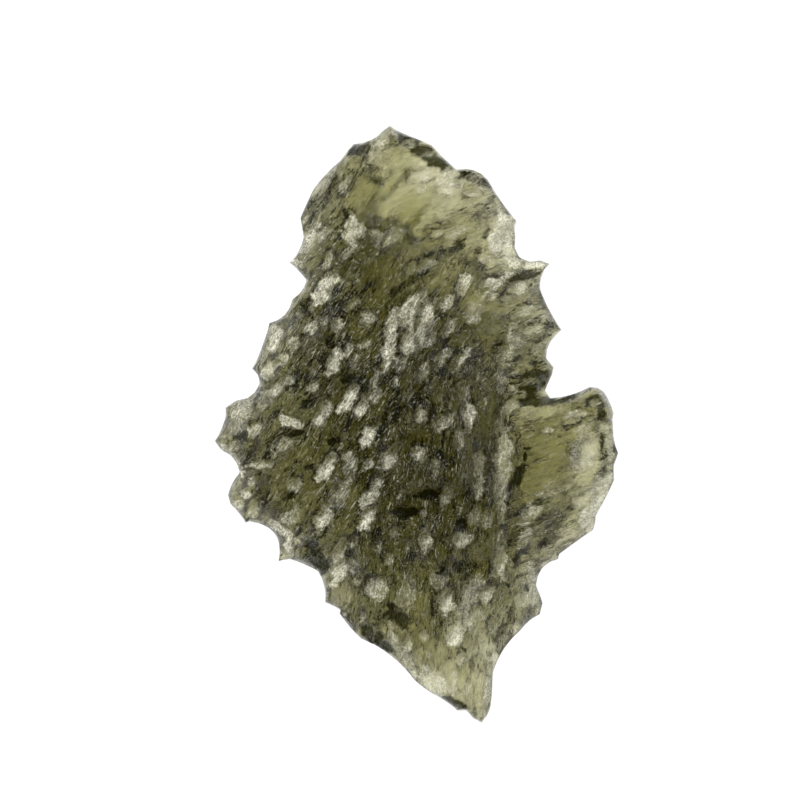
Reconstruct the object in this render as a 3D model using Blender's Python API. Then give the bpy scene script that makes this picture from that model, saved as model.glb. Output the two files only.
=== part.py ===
"""Moldavite: one natural piece of green glass, a flat leaf-shaped splash form.

Acid in the soil has etched both faces into grooves and pits that follow the flow of the
glass, and has sharpened the rim into spines with scooped bays between them. A few
stretches of the rim are thick, rough breaks. The stone lies on its underside, on a small
flat spot: the face with the named pits looks up, +Z, and the long way lies along +Y.

All sizes here are in millimetres until the mesh is built, in metres.
"""
import math
import random

import bmesh
import bpy
from mathutils import Matrix, Vector, noise
from mathutils.geometry import delaunay_2d_cdt
from mathutils.kdtree import KDTree

# Driving dimensions
METRES = 0.001
LENGTH = 30.0              # tip to tip, along Y
FULL_THICKNESS = 6.2       # in the dark middle of the stone
UPPER_SHARE = 0.62         # of the thickness, above the plane of the rim
RIM_THICKNESS = 0.24       # of the sharp, clear edge
CLEAR_STRIP = 0.12         # width of the thin clear strip along the rim
EDGE_REACH = 2.6           # how far inside that strip the stone has two thirds of its thickness
BEVEL = 0.07               # width of the bevel along the sharp edge, on each face
BREAK_SLOPE = 0.55         # width of the rough slope that a full break adds to the upper face
RIM_STEP = 0.42            # between points along the rim
FACE_STEP = 0.47           # between points on the two faces
SPINE_REACH = 2.6          # how far a spine's ridge runs into the face
SPINE_RIDGE = 0.34         # height of that ridge at the rim
FLOW_ANGLE = 57.0          # the flow of the glass, in degrees from +X
CELL_LENGTH = 2.3          # of the scooped cells that cover the faces, along the flow
CELL_WIDTH = 1.15
CELL_RELIEF = 0.75
LEDGE_RELIEF = 0.24
GROOVE_RELIEF = 0.16
REST_SPOT = (-0.1, -0.1)   # middle of the flat spot on the underside
REST_RADIUS = 1.9
KEEL = 0.6                 # how far the underside swells down to the rest spot
KEEL_REACH = 4.0
SEED = 11

# The rim, clockwise from the top peak: a corner's place, then how far the edge from it to
# the next corner bows out (+) or is scooped in (-).
RIM = (
    # the broken top edge
    (-1.32, 15.00, 0.08), (-0.92, 14.75, 0.01), (0.76, 14.04, -0.03),
    (2.02, 12.81, 0.24), (3.60, 12.29, -0.07),
    # the right side down to the long spine and its neighbour
    (5.03, 10.23, 0.00), (4.93, 9.90, 0.05), (4.93, 8.87, -0.20), (5.71, 8.17, 0.12),
    (6.68, 8.07, 0.02), (6.44, 7.79, -0.07), (6.19, 6.86, -0.09),
    (7.28, 4.76, 0.05), (6.99, 4.47, -0.14), (6.51, 3.34, -0.02),
    # the deep notch
    (6.88, 2.87, 0.04), (6.66, 2.21, 0.10), (6.46, 1.71, -0.02), (6.71, 1.33, -0.13),
    # the right lobe
    (8.68, 1.88, 0.10), (9.43, 1.62, 0.05), (9.89, 0.56, -0.05), (9.88, -0.15, -0.08),
    (10.13, -1.43, 0.02), (9.91, -2.04, -0.01), (9.93, -2.80, 0.03), (9.03, -4.56, 0.04),
    (8.88, -5.30, -0.01), (7.18, -6.52, 0.00),
    # the scooped bay below the lobe, and the lower right edge
    (7.13, -6.76, -0.32), (6.02, -8.10, 0.02), (6.35, -8.98, 0.03), (6.21, -9.54, -0.09),
    (5.23, -10.37, -0.13), (4.00, -12.06, -0.06), (3.83, -12.84, 0.03),
    # the bottom tip
    (3.72, -14.26, 0.06), (3.28, -15.00, 0.10), (2.53, -14.39, -0.06), (2.07, -14.39, -0.06),
    # the lower left edge
    (0.77, -13.51, 0.03), (-0.07, -12.87, -0.15), (-2.20, -10.99, 0.10),
    (-2.75, -10.77, 0.06), (-3.85, -9.49, 0.00), (-3.83, -9.32, -0.03),
    (-4.59, -8.92, -0.14), (-4.93, -7.36, -0.04), (-6.35, -6.75, 0.09),
    # the widest bay, and the left side with its spines
    (-6.91, -6.85, -0.66), (-8.38, -4.86, 0.00), (-8.57, -4.94, -0.05),
    (-9.32, -3.98, -0.02), (-9.45, -3.54, 0.09), (-8.86, -2.41, -0.21),
    (-9.78, -1.28, 0.08), (-10.13, -0.84, -0.06), (-9.57, 0.39, 0.00),
    (-9.58, 0.85, 0.02), (-9.03, 1.21, -0.25), (-7.86, 2.07, -0.11),
    (-8.25, 2.81, -0.05), (-7.61, 4.33, -0.03), (-7.39, 5.09, -0.27),
    (-6.23, 6.29, -0.13), (-5.52, 7.26, -0.04), (-6.35, 8.14, -0.11),
    (-5.66, 9.42, 0.00), (-5.83, 10.40, 0.01),
    # the upper left shoulder, back to the peak
    (-5.18, 11.82, 0.07), (-3.84, 13.25, 0.02), (-3.13, 14.11, -0.08), (-1.98, 14.47, 0.05),
)

# How thick the stone is around a place on its face: place, then share of the full thickness.
REGIONS = (
    # the thick dark middle
    (0.9, -1.6, 1.00), (1.6, 1.2, 1.00), (1.9, 3.8, 0.84), (-0.6, 4.4, 0.66),
    (-1.4, -5.0, 0.88), (2.2, -5.2, 0.80),
    # the top bowl, the thin place to its right, and the thicker left shoulder
    (-0.4, 11.2, 0.40), (-3.2, 12.2, 0.62), (-3.6, 9.4, 0.70), (2.6, 10.4, 0.34),
    (4.5, 9.2, 0.12), (1.2, 6.6, 0.54), (3.6, 6.6, 0.56),
    # the left side
    (-5.6, 5.4, 0.82), (-3.6, 1.6, 0.76), (-4.2, -2.9, 0.64), (-7.2, 0.2, 0.74),
    (-6.8, -3.6, 0.76), (-4.5, -7.3, 0.95), (-3.0, -6.8, 0.70),
    # the right side and the lobe
    (4.8, 3.4, 0.56), (4.6, -1.2, 0.60), (8.0, -1.6, 0.48), (7.4, -4.2, 0.46),
    (9.3, -3.7, 0.16), (4.6, -7.4, 0.56),
    # the lower end
    (-1.2, -8.8, 0.74), (1.6, -9.2, 0.48), (2.9, -12.2, 0.28),
)
REGION_REACH = 1.7

# Breaks in the rim, where the edge is a thick rough face: place, reach, thickness there.
BREAKS = (
    (-3.3, 13.6, 0.8, 1.2), (-1.5, 14.7, 0.9, 1.8), (0.5, 14.0, 1.0, 1.7),
    (2.8, 12.6, 1.0, 1.6), (6.6, 2.0, 1.0, 2.6), (8.0, 1.6, 0.9, 2.0),
    (9.6, 1.0, 1.0, 1.7), (-2.2, -11.0, 1.2, 1.5), (1.6, -14.0, 0.8, 1.1),
    (-4.7, -8.0, 0.7, 1.0), (-5.9, 6.4, 0.7, 1.0), (-9.2, -4.0, 0.6, 0.8),
)

# Swells (+) and hollows (-) of the upper face: place, half length, half width, angle, height.
SWELLS = (
    (-0.6, 11.5, 2.9, 2.3, 20, -0.55),    # the smooth bowl under the top edge
    (-1.6, 5.6, 2.6, 0.6, 57, -0.45),     # the long dark groove across the middle
    (1.6, 7.9, 2.0, 0.5, 45, -0.40),      # the groove that goes on above it
    (4.4, 7.4, 2.6, 0.5, 20, 0.45),       # the ridge that runs into the long spine
    (2.2, -1.2, 0.5, 3.2, 0, 0.35),       # the crest of the thick middle
    (4.6, -1.0, 0.6, 3.6, 0, -0.35),      # the trough beside it
    (7.0, -0.6, 2.4, 0.5, 15, 0.30),      # the rib that fans into the lobe
    (3.0, -9.4, 0.5, 3.0, -14, 0.35),     # the rib down to the bottom tip
    (0.6, -3.9, 2.0, 0.8, 0, -0.45),      # the dark ledge under the middle
    (-0.4, -7.2, 2.2, 1.3, 57, -0.30),    # the striated hollow
    (-5.8, -5.4, 1.6, 0.7, 57, 0.25),     # the lump by the widest bay
)

# Etch pits of the upper face: place, length, width, angle of the length from +X.
PITS = (
    # upper left
    (-3.2, 9.7, 1.1, 0.9, 90), (-2.1, 9.5, 0.6, 0.5, 90), (-4.6, 6.8, 1.8, 0.6, 55),
    (-3.9, 5.0, 0.6, 0.5, 57), (-5.3, 4.8, 0.7, 0.4, 45), (-6.2, 4.1, 0.6, 0.5, 20),
    (-6.7, 3.3, 0.7, 0.5, 30), (-6.4, 2.2, 0.5, 0.4, 57), (-7.1, 1.7, 0.9, 0.4, 40),
    # the field of long pits across the middle
    (-4.1, 3.1, 1.3, 0.5, 60), (-3.4, 3.7, 0.5, 0.5, 57), (-2.7, 4.0, 0.8, 0.4, 35),
    (-1.4, 3.9, 2.0, 0.5, 80), (-0.4, 4.2, 1.5, 0.6, 75), (-4.6, 0.7, 1.4, 0.5, 60),
    (-3.4, 1.3, 1.4, 0.5, 60), (-2.7, 0.9, 1.1, 0.4, 65), (-2.4, -0.6, 1.1, 0.5, 60),
    (-3.4, -1.5, 0.6, 0.4, 57), (-4.5, -2.1, 1.4, 0.5, 60), (-1.4, -1.6, 1.3, 0.5, 60),
    (-2.0, -2.8, 0.8, 0.4, 65), (-3.5, -2.8, 0.8, 0.4, 40), (-4.2, -3.8, 0.9, 0.5, 75),
    (-2.2, -3.6, 0.6, 0.4, 57), (-2.5, -4.7, 1.3, 0.5, 60), (-4.6, -4.7, 0.5, 0.5, 57),
    # left edge
    (-6.3, 0.1, 1.1, 0.4, -20), (-6.8, -1.1, 1.0, 0.6, 30), (-8.1, -0.2, 0.7, 0.6, 0),
    (-7.9, -2.0, 1.0, 0.4, 0), (-6.1, -3.0, 0.7, 0.6, 0), (-5.9, -0.6, 1.0, 0.4, 0),
    (-4.1, -0.8, 0.9, 0.4, 10),
    # lower left
    (-1.1, -5.3, 0.5, 0.4, 57), (-1.9, -6.0, 0.9, 0.4, 90), (-4.0, -7.3, 1.6, 0.6, 70),
    (-2.0, -8.2, 0.9, 0.9, 57), (1.5, -8.9, 1.1, 0.7, 90), (2.5, -8.3, 0.9, 0.4, 90),
    # the middle and the right
    (0.2, 0.5, 0.9, 0.7, 90), (1.4, 0.1, 1.0, 0.5, 45), (2.6, 0.5, 1.1, 0.6, 90),
    (3.1, -2.3, 2.3, 0.5, 85), (4.2, -2.4, 3.6, 0.7, 85), (4.4, 3.5, 0.9, 0.7, 90),
    (6.0, 3.8, 0.5, 0.4, 57), (-0.6, -4.2, 1.4, 0.6, 0), (0.9, -3.3, 1.6, 0.5, 5),
    (5.3, -3.3, 1.8, 0.5, 110), (2.2, -5.7, 0.9, 0.7, 0), (1.2, -7.2, 0.8, 0.6, 0),
    (8.4, -1.3, 2.5, 1.0, 85), (3.5, -8.5, 0.7, 0.6, 90), (4.2, -7.0, 0.9, 0.5, 90),
    (5.4, -7.0, 0.8, 0.5, 90),
)
PIT_DEPTH = 0.5
PIT_FLOOR = 0.55           # of the pit's size
PIT_STEP = 0.42            # between points round a pit
UNDERSIDE_PITS = 44


def arc(start, end, bow):
    """Points from start towards end, without end, on an arc that bows out by this much."""
    chord = end - start
    outward = Vector((-chord.y, chord.x)).normalized()
    steps = max(1, round(chord.length / RIM_STEP))
    return [start + chord * t + outward * bow * 4 * t * (1 - t)
            for t in (step / steps for step in range(steps))]


def rim_loop():
    """The whole rim, anticlockwise, as the meshing needs it."""
    corners = [Vector((x, y)) for x, y, bow in RIM]
    points = []
    for i, (x, y, bow) in enumerate(RIM):
        points += arc(corners[i], corners[(i + 1) % len(RIM)], bow)
    return points[::-1]


def inward_directions(loop, reach):
    """The way into the stone at each point of an anticlockwise loop, square to the line
    between the points this many places before it and after it."""
    ways = []
    for i in range(len(loop)):
        along = (loop[(i + reach) % len(loop)] - loop[i - reach]).normalized()
        ways.append(Vector((-along.y, along.x)))
    return ways


def spines():
    """Sharp corners of the rim: where each one is, and the way its ridge runs inward."""
    corners = [Vector((x, y)) for x, y, bow in RIM]
    found = []
    for i, corner in enumerate(corners):
        before = (corners[i - 1] - corner).normalized()
        after = (corners[(i + 1) % len(corners)] - corner).normalized()
        points_out = before.cross(after) > 0
        if points_out and before.angle(after) < math.radians(135):
            found.append((corner, (before + after).normalized()))
    return found


LOOP = rim_loop()
INWARD = inward_directions(LOOP, 1)
SPINES = spines()
NEAREST_RIM = KDTree(len(LOOP))
for index, place in enumerate(LOOP):
    NEAREST_RIM.insert((place.x, place.y, 0.0), index)
NEAREST_RIM.balance()


def smooth_step(value):
    value = min(max(value, 0.0), 1.0)
    return value * value * (3 - 2 * value)


def bell(distance, reach):
    return math.exp(-(distance / reach) ** 2)


def turned(x, y, angle):
    """A place in axes that are turned by this angle: along it, and across it."""
    c = math.cos(math.radians(angle))
    s = math.sin(math.radians(angle))
    return x * c + y * s, y * c - x * s


def depth_inside(x, y):
    """How far a place is from the rim."""
    near, index, distance = NEAREST_RIM.find((x, y, 0.0))
    return distance


def region_thickness(x, y):
    """Thickness of the body, blended between the regions."""
    total = weight = 0.0
    for rx, ry, share in REGIONS:
        near = bell(math.hypot(x - rx, y - ry), REGION_REACH) + 1e-6
        total += near * share
        weight += near
    return FULL_THICKNESS * total / weight


def break_thickness(x, y):
    """What the breaks add to the thickness of the edge."""
    added = 0.0
    for bx, by, reach, height in BREAKS:
        added = max(added, height * bell(math.hypot(x - bx, y - by), reach))
    return added


def slope_width(x, y):
    """Width of the rough slope between the rim and the upper face."""
    return BEVEL + BREAK_SLOPE * min(break_thickness(x, y) / 1.8, 1.0)


def spine_ridge(x, y):
    """The ridges that run in from the spines."""
    height = 0.0
    for tip, way in SPINES:
        away = Vector((x, y)) - tip
        along = away.dot(way)
        if -0.2 < along < SPINE_REACH:
            across = abs(away.x * way.y - away.y * way.x)
            height = max(height, bell(across, 0.3 + 0.1 * along) * (1 - along / SPINE_REACH))
    return SPINE_RIDGE * height


def thickness(x, y):
    strip = CLEAR_STRIP * (1 + 1.4 * noise.noise((x / 1.3, y / 1.3, 4.0)))
    share = 1 - math.exp(-max(depth_inside(x, y) - strip, 0.0) / EDGE_REACH)
    edge = RIM_THICKNESS + break_thickness(x, y)
    return edge + (max(region_thickness(x, y), edge) - edge) * share


def flow_relief(x, y, seed):
    """Relief that follows the flow of the glass: scooped cells with sharp ridges between
    them, on broader ledges, with finer grooves over both."""
    along, across = turned(x, y, FLOW_ANGLE)
    distances, centres = noise.voronoi((along / CELL_LENGTH, across / CELL_WIDTH, seed))
    ledges = 0.5 - 2.4 * abs(noise.noise((along / 4.2, across / 1.6, seed)))
    grooves = noise.noise((along / 1.9, across / 0.7, seed + 5))
    return CELL_RELIEF * (distances[0] - 0.45) + LEDGE_RELIEF * ledges + GROOVE_RELIEF * grooves


def roughness(x, y):
    """How rough the etching is: the top bowl and the right lobe are smooth."""
    bowl = bell(math.hypot(x + 0.5, y - 11.3), 2.9)
    lobe = 0.6 * bell(math.hypot(x - 7.0, y + 1.0), 2.6)
    return 1 - max(bowl, lobe)


def pit_depth(x, y, pits):
    """Depth of the etch pits at a place: steep sides, and a nearly flat floor."""
    deepest = 0.0
    for px, py, length, width, angle in pits:
        along, across = turned(x - px, y - py, angle)
        away = math.hypot(2 * along / length, 2 * across / width)
        deepest = max(deepest, 1 - smooth_step((away - PIT_FLOOR) / (1 - PIT_FLOOR)))
    return PIT_DEPTH * deepest


def scattered_pits(count, rng):
    """Pits of the underside, strewn along the flow, clear of the rim and the rest spot."""
    pits = []
    while len(pits) < count:
        x = rng.uniform(-9.5, 9.5)
        y = rng.uniform(-14.0, 14.0)
        near, index, distance = NEAREST_RIM.find((x, y, 0.0))
        inside = (Vector((x, y)) - LOOP[index]).dot(INWARD[index]) > 0 and distance > 1.0
        clear = math.hypot(x - REST_SPOT[0], y - REST_SPOT[1]) > REST_RADIUS + 1.2
        apart = all(math.hypot(x - p[0], y - p[1]) > 1.5 for p in pits)
        if inside and clear and apart:
            length = rng.uniform(1.1, 2.4)
            angle = FLOW_ANGLE + rng.uniform(-18, 18)
            pits.append((x, y, length, length * rng.uniform(0.4, 0.6), angle))
    return pits


LOWER_PITS = scattered_pits(UNDERSIDE_PITS, random.Random(SEED))
RIM_LEVEL = (1 - UPPER_SHARE) * FULL_THICKNESS + 0.5


def rim_level(x, y):
    """The plane of the rim, which is a little warped, as a splash of glass is."""
    return RIM_LEVEL + 0.035 * x * math.sin(y / 6.0) + 0.25 * math.cos(y / 4.4)


def upper_face(x, y):
    """Height of the upper face."""
    body = thickness(x, y)
    settle = smooth_step(depth_inside(x, y) / 1.2)
    relief = flow_relief(x, y, 2.0) * roughness(x, y) * settle
    for sx, sy, half_length, half_width, angle, height in SWELLS:
        along, across = turned(x - sx, y - sy, angle)
        relief += height * settle * bell(math.hypot(along / half_length, across / half_width), 1.0)
    relief -= min(pit_depth(x, y, PITS), 0.32 * body) * settle
    relief = max(relief, -0.4 * body)
    return rim_level(x, y) + UPPER_SHARE * body + relief + spine_ridge(x, y)


def lower_face(x, y):
    """Height of the underside, which meets the ground only in the rest spot."""
    body = thickness(x, y)
    settle = smooth_step(depth_inside(x, y) / 1.2)
    relief = flow_relief(x, y, 9.0) * settle - min(pit_depth(x, y, LOWER_PITS), 0.3 * body)
    relief = max(relief, -0.3 * body)
    away = math.hypot(x - REST_SPOT[0], y - REST_SPOT[1])
    keel = KEEL * bell(away, KEEL_REACH)
    free = rim_level(x, y) - (1 - UPPER_SHARE) * body - relief - 0.7 * spine_ridge(x, y) - keel
    beyond = away - REST_RADIUS
    return max(free * smooth_step(beyond / 1.2), 0.11 * min(beyond, 2.5), 0.0)


def lattice(rng):
    """Evenly spread points over the face, in a shaken triangular pattern."""
    points = []
    rows = int(LENGTH / FACE_STEP)
    for row in range(-rows, rows + 1):
        for column in range(-rows, rows + 1):
            x = (column + 0.5 * (row % 2)) * FACE_STEP + rng.uniform(-0.09, 0.09)
            y = row * FACE_STEP * math.sqrt(3) / 2 + rng.uniform(-0.09, 0.09)
            near, index, distance = NEAREST_RIM.find((x, y, 0.0))
            if distance < 0.6 * FACE_STEP + slope_width(x, y):
                continue
            if (Vector((x, y)) - LOOP[index]).dot(INWARD[index]) > 0:
                points.append(Vector((x, y)))
    return points


def pit_points(pit):
    """Points evenly round a pit's brink, and in a row along its floor."""
    px, py, length, width, angle = pit
    corners = max(7, round(1.5 * (length + width) / PIT_STEP))
    points = []
    for i in range(corners):
        turn = 2 * math.pi * (i + 0.5) / corners
        points.append(Vector((length / 2 * math.cos(turn), width / 2 * math.sin(turn))))
    row = max(1, round(PIT_FLOOR * length / PIT_STEP))
    for i in range(row + 1):
        points.append(Vector((PIT_FLOOR * length * (i / row - 0.5), 0.0)))
    return [Vector((px, py)) + Matrix.Rotation(math.radians(angle), 2) @ p for p in points]


def clear_of_pits(point):
    for px, py, length, width, angle in PITS:
        along, across = turned(point.x - px, point.y - py, angle)
        if math.hypot(along / (length / 2 + 0.25), across / (width / 2 + 0.25)) < 1:
            return False
    return True


def upper_points(rng):
    points = [point for point in lattice(rng) if clear_of_pits(point)]
    for pit in PITS:
        points += [p for p in pit_points(pit)
                   if depth_inside(p.x, p.y) > 0.25 + slope_width(p.x, p.y)]
    return points


def lower_points(rng):
    """The lattice, with the rest spot left open but for a ring of points round it."""
    middle = Vector(REST_SPOT)
    points = [p for p in lattice(rng) if (p - middle).length > REST_RADIUS + 0.3]
    for i in range(18):
        turn = 2 * math.pi * i / 18
        points.append(middle + REST_RADIUS * Vector((math.cos(turn), math.sin(turn))))
    return points


def add_face(bm, loop, inner, height, upward):
    """One face of the stone, filled between its loop of points; gives the loop's corners."""
    plan = loop + inner
    outline = list(range(len(loop)))
    places, edges, triangles, *ids = delaunay_2d_cdt(plan, [], [outline], 1, 1e-5)
    verts = [bm.verts.new((p.x * METRES, p.y * METRES, height(p.x, p.y) * METRES)) for p in places]
    for triangle in triangles:
        corners = [verts[i] for i in triangle]
        bm.faces.new(corners if upward else corners[::-1])
    first = {sources[0]: verts[i] for i, sources in enumerate(ids[0]) if sources}
    return [first[i] for i in outline]


def add_rim_strip(bm, upper, lower):
    """Joins two closed rows of corners with triangles, faces outward."""
    for i in range(len(upper)):
        j = (i + 1) % len(upper)
        bm.faces.new((lower[i], lower[j], upper[j]))
        bm.faces.new((lower[i], upper[j], upper[i]))


def moldavite():
    """The stone: two etched faces, joined at the rim by a bevelled edge."""
    rng = random.Random(SEED)
    brow = []
    brim = []
    for point, way in zip(LOOP, inward_directions(LOOP, 2)):
        width = slope_width(point.x, point.y) * rng.uniform(0.7, 1.0)
        brow.append(point + way * width)
        brim.append(point + way * (BEVEL + 0.3 * (width - BEVEL)))
    bm = bmesh.new()
    top = add_face(bm, brow, upper_points(rng), upper_face, True)
    under = add_face(bm, brim, lower_points(rng), lower_face, False)
    edge = []
    for point, above, below in zip(LOOP, top, under):
        level = below.co.z + (above.co.z - below.co.z) * rng.uniform(0.4, 0.6)
        edge.append(bm.verts.new((point.x * METRES, point.y * METRES, level)))
    add_rim_strip(bm, top, edge)
    add_rim_strip(bm, edge, under)
    mesh = bpy.data.meshes.new("moldavite")
    bm.to_mesh(mesh)
    bm.free()
    stone = bpy.data.objects.new("moldavite", mesh)
    bpy.context.scene.collection.objects.link(stone)
    return stone


def olive_glass():
    """Olive green natural glass, lustrous in its pits."""
    material = bpy.data.materials.new("olive_glass")
    material.use_nodes = True
    shader = material.node_tree.nodes["Principled BSDF"]
    shader.inputs["Base Color"].default_value = (0.30, 0.32, 0.13, 1.0)
    shader.inputs["Roughness"].default_value = 0.18
    shader.inputs["Metallic"].default_value = 0.0
    shader.inputs["IOR"].default_value = 1.49
    shader.inputs["Transmission Weight"].default_value = 0.6
    return material


def centre_of_mass(mesh):
    """Where the stone's weight acts, for checking the rest spot against it."""
    total = 0.0
    moment = Vector((0, 0, 0))
    for polygon in mesh.polygons:
        a, b, c = (mesh.vertices[i].co for i in polygon.vertices)
        volume = a.dot(b.cross(c)) / 6
        moment += volume * (a + b + c) / 4
        total += volume
    return moment / total, total


for old in list(bpy.data.objects):
    bpy.data.objects.remove(old, do_unlink=True)
piece = moldavite()
piece.data.materials.append(olive_glass())
middle_of_mass, whole_volume = centre_of_mass(piece.data)
print("triangles", len(piece.data.polygons), "spines", len(SPINES))
print("centre of mass, mm", [round(c / METRES, 2) for c in middle_of_mass])
print("volume, mm3", round(whole_volume / METRES ** 3, 1))
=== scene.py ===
# %% [markdown]
# # A moldavite on a white table
#
# The real thing is a splash of natural glass, some 30 mm long, that lay in soil for
# millions of years. Acid water etched it. So it has the clear olive green body of bottle
# glass, and a skin of pits, grooves and sharp ridges that follow the flow of the glass.
# Its look comes from three things: how the light is lost in the thick middle, how the
# etched skin bends it, and the pale floors of the pits.
#
# This lesson loads the fixed solid, sets up a small studio, carves the fine skin into a
# copy of the solid, and gives it a glass that swallows light by its thickness.

# %% The frame
import math
import random

import bmesh
import bpy
import numpy as np
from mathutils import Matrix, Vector, noise
from mathutils.bvhtree import BVHTree


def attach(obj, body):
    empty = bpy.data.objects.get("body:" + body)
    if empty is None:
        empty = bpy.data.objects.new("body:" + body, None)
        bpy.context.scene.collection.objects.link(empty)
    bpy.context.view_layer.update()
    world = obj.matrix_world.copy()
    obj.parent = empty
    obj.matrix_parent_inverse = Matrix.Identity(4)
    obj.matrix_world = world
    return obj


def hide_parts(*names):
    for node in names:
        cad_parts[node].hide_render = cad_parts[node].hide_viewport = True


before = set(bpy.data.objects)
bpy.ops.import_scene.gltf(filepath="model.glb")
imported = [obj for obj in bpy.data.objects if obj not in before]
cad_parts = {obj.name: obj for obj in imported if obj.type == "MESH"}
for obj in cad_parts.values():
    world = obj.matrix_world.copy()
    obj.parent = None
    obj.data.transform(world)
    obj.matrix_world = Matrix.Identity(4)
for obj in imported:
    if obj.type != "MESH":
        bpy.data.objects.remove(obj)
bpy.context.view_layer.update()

MM = 0.001
scene = bpy.context.scene

# %% [markdown]
# ## The camera
#
# The photograph looks straight down on the stone with a long lens, so that there is
# hardly any perspective. A camera with no rotation looks down its own -Z with +Y up in
# the picture, which is what is wanted. The rim of the stone lies a few millimetres above
# the table, and the picture is 40.2 mm wide at that height.

# %% A long lens, straight down
PICTURE_WIDTH = 40.2 * MM
PICTURE_MIDDLE = Vector((-0.82, 1.23, 2.9)) * MM
LENS = 250.0
SENSOR = 36.0
distance = PICTURE_WIDTH * LENS / SENSOR

camera_data = bpy.data.cameras.new("camera")
camera_data.lens = LENS
camera_data.sensor_width = SENSOR
camera_data.clip_start = 0.01
camera_data.clip_end = 20.0
camera = bpy.data.objects.new("camera", camera_data)
camera.location = PICTURE_MIDDLE + Vector((0, 0, distance))
scene.collection.objects.link(camera)
scene.camera = camera
print("camera height, mm", round(camera.location.z / MM, 1))

# %% [markdown]
# ## Shader maths as plain expressions
#
# A material is a graph of nodes. Written out node by node it is long to read, so a small
# class wraps one socket, and its operators add Math nodes: 1 - mask makes a Subtract
# node. Every other node comes from one method, Socket.of, which takes the node's type, its
# settings and the values or links of its sockets.

# %% One class for sockets
class Socket:
    """One output of a node in a material, which can be used in sums."""

    def __init__(self, tree, output):
        self.tree = tree
        self.output = output

    @classmethod
    def of(cls, tree, kind, settings=None, inputs=None, output=0, **named):
        """An output of a new node. Its settings are set first, and then its inputs, by
        number or by name, with _ for a space."""
        node = tree.nodes.new("ShaderNode" + kind)
        for name, value in (settings or {}).items():
            setattr(node, name, value)
        slots = dict(inputs or {})
        slots.update({name.replace("_", " "): value for name, value in named.items()})
        for slot, value in slots.items():
            if isinstance(value, Socket):
                tree.links.new(value.output, node.inputs[slot])
            else:
                node.inputs[slot].default_value = value
        return cls(tree, node.outputs[output])

    def maths(self, operation, *values, clamp=False):
        settings = {"operation": operation, "use_clamp": clamp}
        return Socket.of(self.tree, "Math", settings, dict(enumerate(values)))

    def __add__(self, other):
        return self.maths("ADD", self, other)

    def __sub__(self, other):
        return self.maths("SUBTRACT", self, other)

    def __rsub__(self, other):
        return self.maths("SUBTRACT", other, self)

    def __mul__(self, other):
        return self.maths("MULTIPLY", self, other)

    __radd__ = __add__
    __rmul__ = __mul__


def mix(kind, factor, first, second):
    """Blends two colours ("RGBA") or two vectors ("VECTOR")."""
    slots, output = {"RGBA": ((0, 6, 7), 2), "VECTOR": ((0, 4, 5), 1)}[kind]
    inputs = dict(zip(slots, (factor, first, second)))
    return Socket.of(factor.tree, "Mix", {"data_type": kind}, inputs, output)


print("operators:", [name for name in vars(Socket) if name.startswith("__r")])

# %% Materials and attributes
def new_material(name):
    """An empty material, and its node tree."""
    material = bpy.data.materials.new(name)
    material.use_nodes = True
    material.node_tree.nodes.clear()
    return material, material.node_tree


def end_material(tree, **shaders):
    """Links the shaders to the material's output: Surface, and Volume if it has one."""
    out = tree.nodes.new("ShaderNodeOutputMaterial")
    for name, shader in shaders.items():
        tree.links.new(shader.output, out.inputs[name])


def write_attribute(piece, name, values):
    """Keeps one number for each vertex of a piece, for its material to read."""
    attribute = piece.data.attributes.new(name, "FLOAT", "POINT")
    attribute.data.foreach_set("value", values)


def read_attribute(tree, name):
    return Socket.of(tree, "Attribute", {"attribute_name": name}, output=2)


print("material helpers ready")

# %% [markdown]
# ## The table and the light
#
# The stone lies on a white surface that is bright all over, so bright that it has no
# shadow: what comes through the thin edges is this white. The glass needs something dark
# to bend, too, or it would look flat, so the room above is a dim olive grey. Three soft
# boxes stand around the stone: a strong one at the upper left, which lights the floors of
# the pits, and two weaker ones on the right and below.
#
# A lamp that mirrors in the etched skin lays a grey veil over the dark glass. With a real
# camera, crossed polarising filters take such glare away. Here two of the lamps don't show
# in mirror reflections, and only the one on the right leaves a few glints.

# %% The white table
TABLE_SIDE = 2.0
PAPER_GREY = 0.1             # how much of the lamps' light the paper gives back
PAPER_ROUGHNESS = 0.9


def deselect_all():
    for other in bpy.context.selected_objects:
        other.select_set(False)


def select_only(piece):
    """Leaves just this piece selected and active, as operators act on all that is."""
    deselect_all()
    piece.select_set(True)
    bpy.context.view_layer.objects.active = piece


def glowing_paper(tree, glow):
    """Paper that shines by itself in this colour, and hardly takes light from the lamps."""
    paper = Socket.of(tree, "BsdfPrincipled", Base_Color=(PAPER_GREY,) * 3 + (1,),
                      Roughness=PAPER_ROUGHNESS, Emission_Color=glow, Emission_Strength=1.0)
    end_material(tree, Surface=paper)


deselect_all()
bpy.ops.mesh.primitive_plane_add(size=TABLE_SIDE, location=(0, 0, 0))
table = bpy.context.object
table.name = "table"
material, tree = new_material("white_table")
glowing_paper(tree, (1, 1, 1, 1))
table.data.materials.append(material)
print("table", tuple(round(side, 2) for side in table.dimensions))

# %% Three soft boxes and a dim room
def soft_box(name, place, size, power, glare=True):
    """A square area light that faces the stone. Without glare, no mirror reflection of it."""
    light = bpy.data.lights.new(name, "AREA")
    light.shape = "SQUARE"
    light.size = size
    light.energy = power
    lamp = bpy.data.objects.new(name, light)
    lamp.location = place
    lamp.rotation_euler = Vector(place).to_track_quat("Z", "Y").to_euler()
    lamp.visible_glossy = glare
    scene.collection.objects.link(lamp)


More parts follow.
